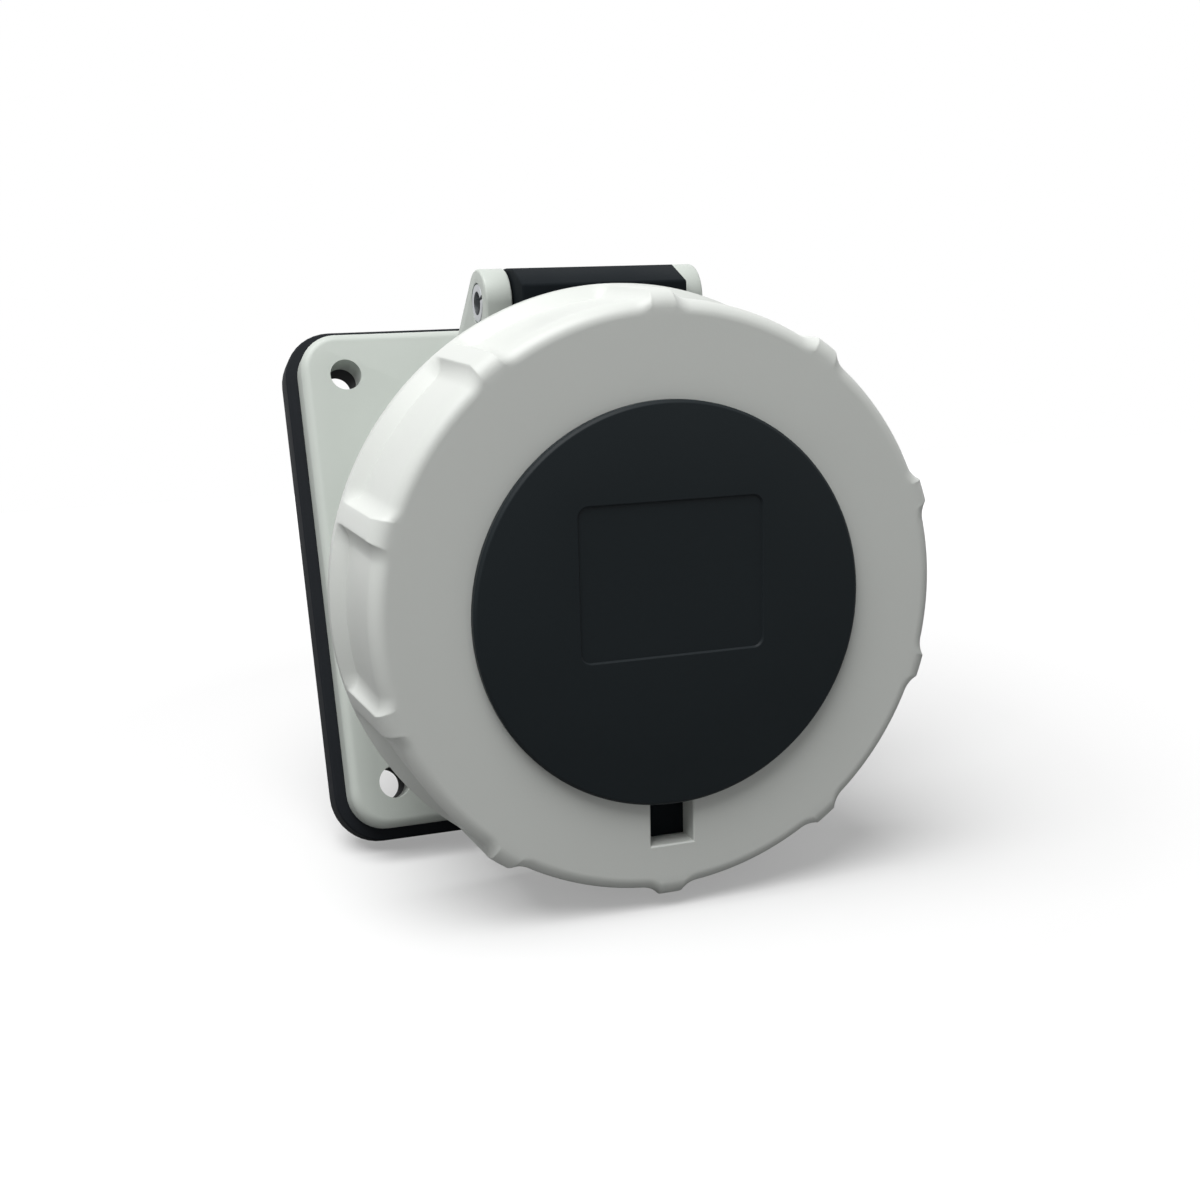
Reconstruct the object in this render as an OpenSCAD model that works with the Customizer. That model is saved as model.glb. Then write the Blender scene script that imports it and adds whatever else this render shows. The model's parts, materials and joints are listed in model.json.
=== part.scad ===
// Angled panel socket for industrial power, with a hinged lid and a bayonet ring.
// Front is -Y, up is +Z. The origin is the centre of the gasket's back face, which sits on the panel.

/* [Socket axis] */
// Lean of the socket axis, downwards at the front
tilt = 20; // [0:1:24]
// Length along the axis, from the lid disc's front face to the panel
reach = 73.2; // [70:0.1:84]
// Height at which the axis meets the panel
axis_rise = 5.6; // [2:0.1:8]

/* [Flange] */
// Width and height of the square flange
flange_w = 100.4; // [97:0.1:120]
// Thickness of the flange
flange_t = 6.8; // [5:0.1:14]
// Corner radius of the flange
flange_corner = 7.5; // [4:0.5:12]
// Rounding of the flange's front edge
flange_edge = 1.8; // [0.5:0.1:3]
// How far the gasket stands out past the flange
gasket_over = 2.3; // [0:0.1:5]
// Thickness of the gasket
gasket_t = 6.6; // [3:0.1:9]
// Distance between the panel screw holes, both ways
hole_pitch = 82.8; // [82:0.1:86]
// Radius of the panel screw holes
hole_r = 3.15; // [2.5:0.05:3.5]

/* [Collar] */
// Outer radius of the collar
collar_r = 41; // [40:0.1:42]
// Wall of the collar
collar_wall = 3.5; // [2.5:0.1:4.5]
// Depth from the collar's rim to the floor, for the plug's shroud
plug_depth = 46.7; // [42:0.1:50]
// Thickness of the floor
floor_t = 6; // [4:0.5:8]
// Outer radius of the rear skirt
skirt_r = 39.3; // [39:0.1:40.5]
// Wall of the rear skirt
skirt_wall = 2.7; // [2:0.1:3]
// Length of the rear skirt behind the floor
skirt_len = 26; // [22:1:28]
// Width of the plug's keyway in the collar
keyway_w = 8; // [6:0.5:10]
// Depth of the keyway into the wall
keyway_d = 1.8; // [1:0.1:2.2]

/* [Bayonet] */
// Turn of the ring from open to locked, in degrees
lock_turn = 35; // [30:1:40]
// Height of the collar's two ramps
ramp_h = 5.5; // [4.5:0.1:6]
// Thickness of a ramp along the axis
ramp_t = 4.6; // [3:0.1:5]
// Distance from the collar's rim to a ramp
ramp_set = 5.7; // [4:0.1:6]
// Arc of a ramp, in degrees
ramp_arc = 30; // [26:1:34]
// Arc of the lead-in at a ramp's start, in degrees
lead_arc = 8; // [4:1:10]
// Arc of the ring's inner lugs, in degrees
lug_arc = 18; // [14:1:20]
// Thickness of a lug along the axis
lug_t = 3.9; // [2.5:0.1:4]

/* [Ring] */
// Outer radius of the ring between its ribs
ring_r = 52.7; // [52:0.1:56]
// Side wall of the ring
ring_wall = 3.5; // [2:0.1:3.8]
// Thickness of the ring's front wall
ring_front_t = 5.1; // [3:0.1:6]
// Depth of the ring from front to rim
ring_depth = 26.3; // [26:0.1:30]
// Rounding of the ring's front edge
ring_round = 2.2; // [1:0.1:4.5]
// How far the rim stands out past the side wall
rim_flare = 2.9; // [1:0.1:5]
// Length of the sloping band before the rim
flare_len = 2.6; // [1:0.1:5]
// Width of the rim's straight lip
rim_t = 2.5; // [1.5:0.1:4]
// Number of grip ribs
rib_count = 10; // [6:1:12]
// How far a rib stands out at the ring's front
rib_h = 1.7; // [0.8:0.1:2.6]
// How much further it stands out at the ring's flare
rib_rise = 0.9; // [0:0.1:1.2]
// Width of a rib's flat top
rib_top = 3.8; // [2:0.1:6]
// Rounding of a rib's front edge
rib_round = 2.2; // [0.5:0.1:4]
// Radius of the hollow flank at a rib's foot
rib_flank = 4.4; // [2.6:0.1:6]
// Width of the window in the ring's front wall
window_w = 8.3; // [5:0.1:12]
// Distance from the axis to the window's far edge
window_far = 44.2; // [42:0.1:45]
// How far the window starts inside the disc's edge
window_under = 3; // [1:0.1:4]

/* [Lid] */
// Radius of the lid disc
disc_r = 36; // [33:0.1:38]
// Thickness of the lid disc
disc_t = 2; // [1.5:0.1:3]
// Bevel of the lid disc's front edge
disc_bevel = 0.5; // [0.2:0.1:1]
// Distance from the disc's edge in to the hub that the ring turns on
hub_set = 6; // [4.5:0.5:8]
// Wall of the hub
hub_wall = 3; // [2:0.1:4]
// Wall of the disc's skirt, which snaps into the hub
disc_skirt = 2.4; // [1.6:0.1:4]
// Depth of the snap bead
bead = 0.4; // [0.2:0.1:0.6]
// Thickness of the lid's plate
plate_t = 4; // [3.5:0.1:5]
// Width of the lid seal
seal_w = 4.8; // [4:0.1:5.5]
// Depth of the groove that holds the lid seal
seal_sink = 1.6; // [1:0.1:2.2]
// How far the lid seal stands behind the plate
seal_stand = 1.4; // [0.8:0.1:2]
// Width of the lip around the lid seal
lip_w = 1.6; // [1:0.1:2]

/* [Label recess] */
// Width of the recess
label_w = 34.2; // [20:0.1:40]
// Height of the recess
label_h = 27.3; // [15:0.1:32]
// Height of the recess's middle over the axis
label_up = 5; // [0:0.1:8]
// Depth of the recess
label_d = 0.4; // [0.2:0.1:0.8]
// Corner radius of the recess
label_corner = 1.8; // [0.5:0.1:4]

/* [Hinge] */
// Distance from the disc's front face to the pin, along the axis
hinge_back = 42.5; // [41:0.1:46]
// Distance from the axis to the pin
hinge_up = 52.2; // [51:0.1:54]
// Radius of the ears and of the arm's barrel
barrel_r = 6.3; // [5.5:0.1:6.5]
// Distance between the two ears
ear_gap = 33; // [26:0.1:36]
// Thickness of an ear
ear_t = 5.2; // [4:0.1:7]
// Height at which the ears' slope lands on the flange
ear_land = 36.2; // [34:0.1:40]
// Outer radius of the rolled pin
pin_r = 3.8; // [2.5:0.1:4]
// Wall of the rolled pin
pin_wall = 1.6; // [1:0.1:2]
// Width of the pin's slot
pin_slot = 0.9; // [0.5:0.1:1.5]
// Distance from the ring's rim to the arm's riser
arm_set = 2.5; // [1.2:0.1:3]
// Thickness of the riser and of the arm inside the ring
arm_t = 5.6; // [4:0.1:5.8]
// Length of the slope on top of the arm
arm_slope = 6.8; // [4:0.1:9]
// Fall of that slope
arm_drop = 2.9; // [1:0.1:4]

/* [Contact carrier] */
// Radius of the carrier's front part
carrier_r = 29; // [28.5:0.1:30]
// How far the carrier's face lies behind the collar's rim
face_recess = 6.7; // [4:0.1:10]
// Thickness of the carrier's base
base_t = 5; // [4.5:0.5:7]
// Thickness of the wall in front of the sleeves
front_wall = 3.5; // [2:0.1:5]
// Width of the carrier seal
ring_seal_w = 1.8; // [1.2:0.1:2]
// Depth of the carrier seal's groove
ring_seal_t = 1.6; // [1:0.1:2]
// Length of the terminal block behind the carrier
block_len = 37; // [34:1:44]
// Thickness of the block behind the terminals
end_wall = 4; // [2:0.5:6]

/* [Contacts] */
// Radius of the circle that the contacts stand on
contact_circle = 19.5; // [19:0.1:20]
// Clock position of the earth contact, seen from the front
earth_clock = 7; // [1:1:12]
// Radius of the line and neutral pins that go in
line_pin = 4; // [3:0.1:4.2]
// Radius of the earth pin that goes in
earth_pin = 5; // [4:0.1:5.2]
// Radius of the pilot pin that goes in
pilot_pin = 2.5; // [2:0.1:3]
// Wall of a contact sleeve
sleeve_wall = 1.85; // [1.4:0.05:2]
// Depth of a contact sleeve's bore
sleeve_depth = 40; // [30:1:42]
// Length of the slots at a sleeve's mouth
slot_len = 18; // [10:1:24]
// Width of the slots
slot_w = 0.8; // [0.5:0.1:1.2]
// Thickness of the wire in a sleeve's spring
spring_wire = 1.3; // [1:0.1:1.4]
// Depth of the spring's groove
spring_sink = 0.7; // [0.4:0.1:0.9]
// Distance from a sleeve's mouth to its spring
spring_set = 3; // [2:0.5:8]
// Length of the shoulder that seats a contact in the carrier
shoulder_t = 3; // [2:0.5:5]
// Opening of a spring, in degrees
spring_gap = 40; // [20:5:80]

/* [Terminals] */
// Radius of a line, neutral or earth terminal
post_r = 7; // [6:0.1:7.2]
// Radius of the pilot terminal
pilot_post_r = 4.4; // [3.5:0.1:4.6]
// Radius of the wire hole in a terminal
wire_r = 4.25; // [3:0.05:4.5]
// Radius of the pilot's wire hole
pilot_wire_r = 1.8; // [1:0.1:2.2]
// Depth of the wire holes
wire_depth = 16; // [13:1:20]
// Distance from a terminal's end to its screw
screw_set = 7; // [5:0.5:9]
// Radius of a terminal screw
clamp_screw_r = 3; // [2:0.1:3.2]
// Length of a terminal screw
clamp_screw_len = 9; // [6:0.5:10]
// How far a terminal screw stands into its wire hole
screw_nip = 1; // [0.2:0.1:1.5]
// Radius of the pilot's terminal screw
pilot_screw_r = 1.75; // [1.2:0.05:2]
// Length of the pilot's terminal screw
pilot_screw_len = 5; // [4:0.5:8]

/* [Carrier screws] */
// Radius of the circle that the carrier screws stand on
screw_circle = 31.6; // [31.4:0.1:32]
// Radius of a carrier screw
screw_r = 1.75; // [1.2:0.05:1.8]
// Radius of a screw's head
head_r = 2.9; // [2.4:0.1:3.1]
// Height of a screw's head
head_h = 2.2; // [1.5:0.1:3]
// Length of the cross in a screw's head
cross_len = 3.5; // [2.5:0.1:4]
// Width of the cross
cross_w = 0.8; // [0.5:0.1:1]
// Thickness of the block under a screw's head
seat_t = 5; // [3:0.5:8]
// Length of a screw in the floor
screw_bite = 5; // [3:0.5:5.5]

/* [Fits] */
// Radial clearance of what turns on the pin or the hub
run_clear = 0.08; // [0.02:0.01:0.1]
// Radial clearance of what is pressed or snapped in
snug = 0.05; // [0.02:0.01:0.1]
// Gap between faces that slide past each other
slide_gap = 0.3; // [0.2:0.05:0.5]
// Gap between the ring and the disc's back
disc_gap = 0.2; // [0.1:0.05:0.4]
// Gap between the lid's seal and the collar's rim
seal_gap = 0.3; // [0.2:0.05:0.5]
// Loose gap around the collar, ramps and lugs
free_gap = 0.5; // [0.3:0.1:1]
// Room between the collar and what swings over it
swing_gap = 1.5; // [1:0.1:2]
// Room around a part in the carrier or the block
pocket_gap = 0.3; // [0.2:0.05:0.4]
// Room around a wire or pin at its entry hole
entry_gap = 0.6; // [0.3:0.1:0.8]

/* [Hidden] */
$fn = 96;
HULL_FN = 32;
OVER = 0.01;                        // overlap that keeps cuts and joins clean
ROUND_STEPS = 6;                    // straight pieces in a small round
KEY_SHARE = 0.55;                   // a key socket's width as a share of its screw's
EDGE_STEPS = 3;                     // straight pieces in the flange's rounded edge

// Places along the axis, counted from the disc's front face
ring_front = disc_t + disc_gap;
ring_inside = ring_front + ring_front_t;
ring_back = ring_front + ring_depth;
plate_front = ring_inside + slide_gap;
plate_back = plate_front + plate_t;
seal_back = plate_back + seal_stand;
collar_front = seal_back + seal_gap;
floor_front = collar_front + plug_depth;
floor_back = floor_front + floor_t;
skirt_back = floor_back + skirt_len;
ramp_front = collar_front + ramp_set;
ramp_back = ramp_front + ramp_t;
lug_front = ramp_back + slide_gap;
lug_back = lug_front + lug_t;
flare_at = ring_back - rim_t - flare_len;
face_front = collar_front + face_recess;
base_back = floor_back + base_t;
block_back = base_back + block_len;
sleeve_front = face_front + front_wall;
sleeve_floor = sleeve_front + sleeve_depth;
post_back = block_back - end_wall;
screw_at = post_back - screw_set;
seat_at = base_back + seat_t;
bead_at = (ring_front + ring_inside) / 2 + bead;

// Radii that follow from others
hub_r = disc_r - hub_set;
collar_in = collar_r - collar_wall;
skirt_in = skirt_r - skirt_wall;
base_r = skirt_in - free_gap;
block_r = base_r;
ring_in = ring_r - ring_wall;
rim_r = ring_r + rim_flare;
plate_r = ring_in - free_gap;
arm_in = collar_r + swing_gap;
ramp_r = collar_r + ramp_h;
lug_in = collar_r + swing_gap + free_gap;
seal_mid = collar_r - collar_wall / 2;
ear_root = sqrt(pow(collar_in + collar_wall / 2, 2) - pow(ear_gap / 2 + ear_t, 2));
seal_in = seal_mid - seal_w / 2;
seal_out = seal_mid + seal_w / 2;
flange_back = -gasket_t;
flange_front = -gasket_t - flange_t;

// Angles on the axis, clockwise from the right seen from the front
lug_at = [0, 180];
ramp_first = lock_turn - ramp_arc / 2;
earth_at = earth_clock * 30 - 90;
contact_step = 72;
carrier_screw_at = [for (k = [0, 2, 3, 4]) earth_at + contact_step * (k + 0.5)];
pilot_screw_at = earth_at + contact_step * 1.5;

// Panel frame Y and Z of a point at depth s and height h over the axis
function side_point(s, h) = [
    (s - reach) * cos(tilt) - h * sin(tilt),
    axis_rise + (s - reach) * sin(tilt) + h * cos(tilt)
];
hinge_at = side_point(hinge_back, hinge_up);
ear_foot = [flange_front, ear_land];

// Point where the line from p touches the circle of radius r round c, on the circle's upper side
function tangent_point(p, c, r) =
    let (d = norm(c - p), a = atan2(c[1] - p[1], c[0] - p[0]), b = acos(r / d))
    c + r * [cos(a + 180 + b), sin(a + 180 + b)];

// Points of an arc round c, from angle a to angle b
function arc(c, r, a, b, n = ROUND_STEPS) =
    [for (i = [0:n]) c + r * [cos(a + (b - a) * i / n), sin(a + (b - a) * i / n)]];

// Puts its children on the socket axis: z points back along it and y points down
module on_axis(s = 0) {
    translate([0, -reach * cos(tilt), axis_rise - reach * sin(tilt)])
        rotate([tilt - 90, 0, 0])
            translate([0, 0, s]) children();
}

// A ring round z, from radius r1 to r2 and from z1 to z2
module band(r1, r2, z1, z2) {
    rotate_extrude() translate([r1, z1]) square([r2 - r1, z2 - z1]);
}

// Part of a ring, from angle a over an arc of w degrees
module band_part(r1, r2, z1, z2, a, w) {
    rotate([0, 0, a]) rotate_extrude(angle = w) translate([r1, z1]) square([r2 - r1, z2 - z1]);
}

// A side view drawn with depth to the right and height up, w wide and centred on x = 0
module side_slab(w) {
    mirror([0, 1, 0]) rotate([0, -90, 0]) linear_extrude(w, center = true) children();
}

// A square outline of width w with corners of radius r
module round_square(w, r) {
    square([w - 2 * r, w], center = true);
    square([w, w - 2 * r], center = true);
    for (x = [-1, 1], y = [-1, 1]) translate([x, y] * (w / 2 - r)) circle(r);
}

// Outline pushed along the panel's normal, from y1 to y2
module upright(y1, y2) {
    translate([0, y2, 0]) rotate([90, 0, 0]) linear_extrude(y2 - y1) children();
}

// What runs along the four panel screws
module panel_holes(r, y1, y2) {
    for (x = [-1, 1], z = [-1, 1])
        translate([x * hole_pitch / 2, y1, z * hole_pitch / 2]) rotate([-90, 0, 0])
            cylinder(r = r, h = y2 - y1);
}

// Flange plate with a rounded front edge
module flange_plate() {
    upright(flange_front + flange_edge, flange_back) round_square(flange_w, flange_corner);
    hull() {
        for (i = [0:EDGE_STEPS]) {
            turn = 90 * i / EDGE_STEPS;
            inset = flange_edge * (1 - cos(turn));
            upright(flange_front + flange_edge * (1 - sin(turn)), flange_front + flange_edge + OVER)
                round_square(flange_w - 2 * inset, flange_corner - inset, $fn = HULL_FN);
        }
    }
}

// Outer skin of the collar and skirt
module rear_tube() {
    on_axis() {
        translate([0, 0, collar_front]) cylinder(r = collar_r, h = floor_back - collar_front);
        translate([0, 0, floor_front]) cylinder(r = skirt_r, h = skirt_back - floor_front);
    }
}

// One bayonet ramp, starting at angle a, with its back sloped at the start as a lead-in
module ramp(a) {
    lead_len = collar_r * lead_arc * PI / 180;
    difference() {
        band_part(collar_r - 1, ramp_r, ramp_front, ramp_back, a, ramp_arc);
        rotate([0, 0, a + lead_arc]) translate([0, 0, ramp_back]) rotate([atan(ramp_t / 2 / lead_len), 0, 0])
            translate([collar_r - 2, -2 * lead_len, 0]) cube([ramp_h + 4, 2 * lead_len, ramp_t]);
    }
}

// One hinge ear, drawn in side view
module ear() {
    top = tangent_point(ear_foot, hinge_at, barrel_r) - hinge_at;
    foot_front = side_point(hinge_back - barrel_r, ear_root);
    rotate([90, 0, 90]) linear_extrude(ear_t) polygon(concat(
        arc(hinge_at, barrel_r, 180 + tilt, atan2(top[1], top[0]), 3 * ROUND_STEPS),
        [ear_foot, [flange_back - 1, ear_land], [flange_back - 1, foot_front[1]], foot_front]
    ));
}

module flange_housing() {
    color("gainsboro") difference() {
        union() {
            flange_plate();
            rear_tube();
            on_axis() for (a = lug_at) ramp(a + ramp_first);
            for (x = [-ear_gap / 2 - ear_t, ear_gap / 2]) translate([x, 0, 0]) ear();
        }
        on_axis() {
            translate([0, 0, collar_front - 1]) cylinder(r = collar_in, h = plug_depth + 1);
            translate([0, 0, floor_front - 1]) cylinder(r = carrier_r + pocket_gap, h = floor_t + 2);
            translate([0, 0, floor_back]) cylinder(r = skirt_in, h = skirt_len + 1);
            translate([-keyway_w / 2, 0, collar_front - 1])
                cube([keyway_w, collar_in + keyway_d, plug_depth + 1]);
            carrier_seal_space();
            for (a = carrier_screw_at) rotate([0, 0, a]) translate([screw_circle, 0, floor_front - 1])
                cylinder(r = screw_r + snug, h = floor_t + 2);
        }
        panel_holes(hole_r, flange_front - 1, flange_back + 1);
        hinge_bore(ear_gap + 4 * ear_t, pin_r + snug / 2);
    }
}

// Straight hole along the hinge, w wide
module hinge_bore(w, r) {
    translate([-w / 2, hinge_at[0], hinge_at[1]]) rotate([0, 90, 0]) cylinder(r = r, h = w);
}

// Groove for the carrier's seal, in the back of the floor
module carrier_seal_space() {
    band(skirt_in - free_gap - ring_seal_w - snug, skirt_in - free_gap + snug,
        floor_back - ring_seal_t, floor_back + OVER);
}

module flange_gasket() {
    tube_fall = gasket_t * tan(tilt);
    color("#1c1f22") difference() {
        upright(flange_back, 0) round_square(flange_w + 2 * gasket_over, flange_corner + gasket_over);
        translate([0, 0, axis_rise - tube_fall / 2]) upright(flange_back - 1, 1)
            circle(collar_r / cos(tilt) + tube_fall / 2 + free_gap);
        panel_holes(hole_r, flange_back - 1, 1);
    }
}

// Side view of the hinge arm, in depth and height over the axis
module arm_outline() {
    front = ring_back + arm_set;
    top = hinge_up + barrel_r;
    polygon([
        [front, arm_in - 2], [front, top - arm_drop], [front + arm_slope, top],
        [hinge_back, top], [hinge_back, hinge_up - barrel_r], [front + arm_t, hinge_up - barrel_r],
        [front + arm_t, arm_in - 2]
    ]);
    translate([hinge_back, hinge_up]) circle(barrel_r);
}

module lid_arm() {
    arm_w = ear_gap - 2 * slide_gap;
    arm_back = ring_back + arm_set + arm_t;
    difference() {
        side_slab(arm_w) arm_outline();
        cylinder(r = arm_in, h = hinge_back + 2 * barrel_r);
    }
    intersection() {
        band(arm_in, plate_r, plate_front + 1, arm_back);
        translate([-arm_w / 2, -plate_r - 1, 0]) cube([arm_w, plate_r, arm_back + 1]);
    }
}

module lid_body() {
    color("#23272b") difference() {
        union() {
            on_axis() {
                lid_arm();
                translate([0, 0, plate_front]) cylinder(r = plate_r, h = plate_t);
                band(hub_r - hub_wall, hub_r, ring_front + disc_gap, plate_front + OVER);
                band(seal_out, seal_out + lip_w, plate_back - OVER, seal_back);
                band(seal_in - lip_w, seal_in, plate_back - OVER, seal_back - seal_gap);
            }
        }
        on_axis() {
            band(seal_in, seal_out, plate_back - seal_sink, seal_back + 1);
            band(hub_r - hub_wall - 1, hub_r - hub_wall + bead, bead_at - bead, bead_at + 2 * bead);
        }
        hinge_bore(ear_gap, pin_r + run_clear);
    }
}

module lid_disc() {
    skirt_out = hub_r - hub_wall - snug;
    color("#2a2e32") on_axis() difference() {
        union() {
            rotate_extrude() polygon([
                [0, 0], [disc_r - disc_bevel, 0], [disc_r, disc_bevel], [disc_r, disc_t], [0, disc_t]
            ]);
            rotate_extrude() polygon([
                [skirt_out - disc_skirt, disc_t - OVER], [skirt_out, disc_t - OVER],
                [skirt_out, bead_at], [skirt_out + bead, bead_at + bead / 2], [skirt_out, bead_at + bead],
                [skirt_out, plate_front], [skirt_out - disc_skirt, plate_front]
            ]);
        }
        translate([0, -label_up, -1]) linear_extrude(1 + label_d) label_outline();
    }
}

// Outline of the label recess
module label_outline() {
    square([label_w - 2 * label_corner, label_h], center = true);
    square([label_w, label_h - 2 * label_corner], center = true);
    for (x = [-1, 1], y = [-1, 1])
        translate([x * (label_w / 2 - label_corner), y * (label_h / 2 - label_corner)]) circle(label_corner);
}

module lid_seal() {
    color("#33373b") on_axis() band(seal_in + snug, seal_out - snug, plate_back - seal_sink, seal_back);
}

// Turned outline of the ring, standing out by g_front to g_back, with its front edge rounded by edge_r
module ring_turned(g_front, g_back, edge_r) {
    rotate_extrude() polygon(concat(
        [[0, ring_front]],
        arc([ring_r + g_front - edge_r, ring_front + edge_r], edge_r, -90, 0),
        [[ring_r + g_back, flare_at], [rim_r, ring_back - rim_t], [rim_r, ring_back], [0, ring_back]]
    ));
}

// Front view of one rib on the x axis, with hollow flanks
module rib_outline() {
    half = rib_top / 2;
    side = sqrt(pow(rib_flank, 2) - pow(rib_flank - rib_h, 2));
    flank = arc([ring_r + rib_flank, half + side], rib_flank, 180, 270);
    far = [for (p = flank) if (p[0] < rim_r && p[1] > half) p];
    polygon(concat(
        [[ring_r - 2, -half - side], [ring_r, -half - side]],
        [for (p = far) [p[0], -p[1]]],
        [[rim_r + 1, -half], [rim_r + 1, half]],
        [for (i = [len(far) - 1:-1:0]) far[i]],
        [[ring_r, half + side], [ring_r - 2, half + side]]
    ));
}

module locking_ring() {
    color("#d5d8d5") on_axis() {
        difference() {
            union() {
                ring_turned(0, 0, ring_round);
                intersection() {
                    ring_turned(rib_h, rib_h + rib_rise, rib_round);
                    for (k = [0:rib_count - 1]) rotate([0, 0, 90 + k * 360 / rib_count])
                        translate([0, 0, ring_front]) linear_extrude(ring_depth) rib_outline();
                }
            }
            translate([0, 0, ring_front - 1]) cylinder(r = hub_r + run_clear, h = ring_front_t + 2);
            translate([0, 0, ring_inside]) cylinder(r = ring_in, h = ring_depth);
            rotate_extrude() polygon([
                [0, flare_at], [ring_in, flare_at], [rim_r - ring_wall, ring_back - rim_t],
                [rim_r - ring_wall, ring_back + 1], [0, ring_back + 1]
            ]);
            translate([-window_w / 2, disc_r - window_under, ring_front - 1])
                cube([window_w, window_far - disc_r + window_under, ring_front_t + 2]);
        }
        for (a = lug_at)
            band_part(lug_in, rim_r - ring_wall / 2, lug_front, lug_back, a - lug_arc / 2, lug_arc);
    }
}

module hinge_pin() {
    w = ear_gap + 2 * ear_t;
    color("#9b9fa2") difference() {
        hinge_bore(w, pin_r);
        hinge_bore(w + 2, pin_r - pin_wall);
        translate([-w / 2 - 1, hinge_at[0] - pin_r - 1, hinge_at[1] - pin_slot / 2])
            cube([w + 2, pin_r, pin_slot]);
    }
}

// Radius of a contact's sleeve, for a pin of radius p
function sleeve_r(p) = p + snug + sleeve_wall;
function chamber_r(p) = sleeve_r(p) - spring_sink + spring_wire + pocket_gap;

// Angle of the k-th contact after the earth
function contact_at(k) = earth_at + k * contact_step;

// Puts its children on the k-th contact's own axis
module at_contact(k) {
    on_axis() rotate([0, 0, contact_at(k)]) translate([contact_circle, 0, 0]) children();
}

// Space that one contact takes in the carrier
module chamber(p) {
    translate([0, 0, face_front - 1]) cylinder(r = p + entry_gap, h = front_wall + 2);
    translate([0, 0, sleeve_front - pocket_gap]) cylinder(r = chamber_r(p), h = base_back - sleeve_front + 1);
}

// Space that one terminal takes in the block, with its wire entry
module post_space(r, wire) {
    translate([0, 0, base_back - 1]) cylinder(r = r + pocket_gap, h = post_back - base_back + 1);
    translate([0, 0, post_back - 1]) cylinder(r = wire + entry_gap, h = block_back - post_back + 2);
}

module contact_carrier() {
    color("#3a3e42") difference() {
        on_axis() {
            translate([0, 0, face_front]) cylinder(r = carrier_r, h = base_back - face_front);
            translate([0, 0, floor_back]) cylinder(r = base_r, h = base_t);
        }
        at_contact(0) chamber(earth_pin);
        for (k = [1:4]) at_contact(k) chamber(line_pin);
        on_axis() chamber(pilot_pin);
        on_axis(floor_back - 1) for (a = carrier_screw_at) rotate([0, 0, a]) translate([screw_circle, 0, 0])
            cylinder(r = screw_r + pocket_gap, h = base_t + 2);
    }
}

module carrier_seal() {
    color("#4a2f28") on_axis()
        band(skirt_in - free_gap - ring_seal_w, skirt_in - free_gap, floor_back - ring_seal_t, floor_back);
}

module terminal_block() {
    color("#4a4e52") difference() {
        on_axis(base_back) cylinder(r = block_r, h = block_len);
        for (k = [0:4]) at_contact(k) {
            post_space(post_r, wire_r);
            translate([0, 0, screw_at]) rotate([0, 90, 0])
                cylinder(r = clamp_screw_r + entry_gap, h = block_r);
        }
        on_axis() {
            post_space(pilot_post_r, pilot_wire_r);
            rotate([0, 0, pilot_screw_at]) translate([0, 0, screw_at]) rotate([0, 90, 0])
                cylinder(r = pilot_screw_r + entry_gap, h = block_r + 1);
            for (a = carrier_screw_at) rotate([0, 0, a]) translate([screw_circle, 0, 0]) {
                translate([0, 0, base_back - 1]) cylinder(r = screw_r + pocket_gap, h = seat_t + 2);
                translate([0, 0, seat_at]) cylinder(r = head_r + pocket_gap, h = block_len);
            }
        }
    }
}

module carrier_screws() {
    color("#b9bcbe") on_axis() for (a = carrier_screw_at) rotate([0, 0, a]) translate([screw_circle, 0, 0])
        difference() {
            union() {
                translate([0, 0, floor_back - screw_bite])
                    cylinder(r = screw_r, h = seat_at - floor_back + screw_bite);
                translate([0, 0, seat_at]) cylinder(r = head_r, h = head_h);
            }
            for (turn = [0, 90]) rotate([0, 0, turn])
                translate([-cross_len / 2, -cross_w / 2, seat_at + head_h / 2])
                    cube([cross_len, cross_w, head_h]);
        }
}

// A turned contact: slotted sleeve for a pin of radius p, shoulder, and a terminal with its wire hole
module contact(p, post, wire, thread, screw_turn) {
    r = sleeve_r(p);
    groove_z = sleeve_front + spring_set;
    difference() {
        union() {
            translate([0, 0, sleeve_front]) cylinder(r = r, h = base_back - sleeve_front + OVER);
            translate([0, 0, base_back - shoulder_t]) cylinder(r = chamber_r(p) - snug, h = shoulder_t);
            translate([0, 0, base_back]) cylinder(r = post, h = post_back - base_back);
        }
        translate([0, 0, sleeve_front - 1]) cylinder(r = p + snug, h = sleeve_depth + 1);
        band(r - spring_sink, r + 1, groove_z, groove_z + spring_wire);
        for (turn = [45, 135]) rotate([0, 0, turn])
            translate([-r - 1, -slot_w / 2, sleeve_front - 1]) cube([2 * r + 2, slot_w, slot_len + 1]);
        translate([0, 0, post_back - wire_depth]) cylinder(r = wire, h = wire_depth + 1);
        rotate([0, 0, screw_turn]) translate([0, 0, screw_at]) rotate([0, 90, 0])
            cylinder(r = thread, h = post + 1);
    }
}

module line_contact(k) {
    color("#c9a25a") at_contact(k) contact(line_pin, post_r, wire_r, clamp_screw_r + snug, 0);
}

module contact_l1() { line_contact(1); }
module contact_l2() { line_contact(2); }
module contact_l3() { line_contact(3); }
module contact_neutral() { line_contact(4); }

module contact_earth() {
    color("#c9a25a") at_contact(0) contact(earth_pin, post_r, wire_r, clamp_screw_r + snug, 0);
}

module contact_pilot() {
    color("#c9a25a") on_axis()
        contact(pilot_pin, pilot_post_r, pilot_wire_r, pilot_screw_r + snug, pilot_screw_at);
}

// Open spring ring round a sleeve's mouth
module sleeve_spring(p) {
    r = sleeve_r(p) - spring_sink;
    color("#c4c7c9") band_part(r, r + spring_wire, sleeve_front + spring_set,
        sleeve_front + spring_set + spring_wire, spring_gap / 2, 360 - spring_gap);
}

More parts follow.
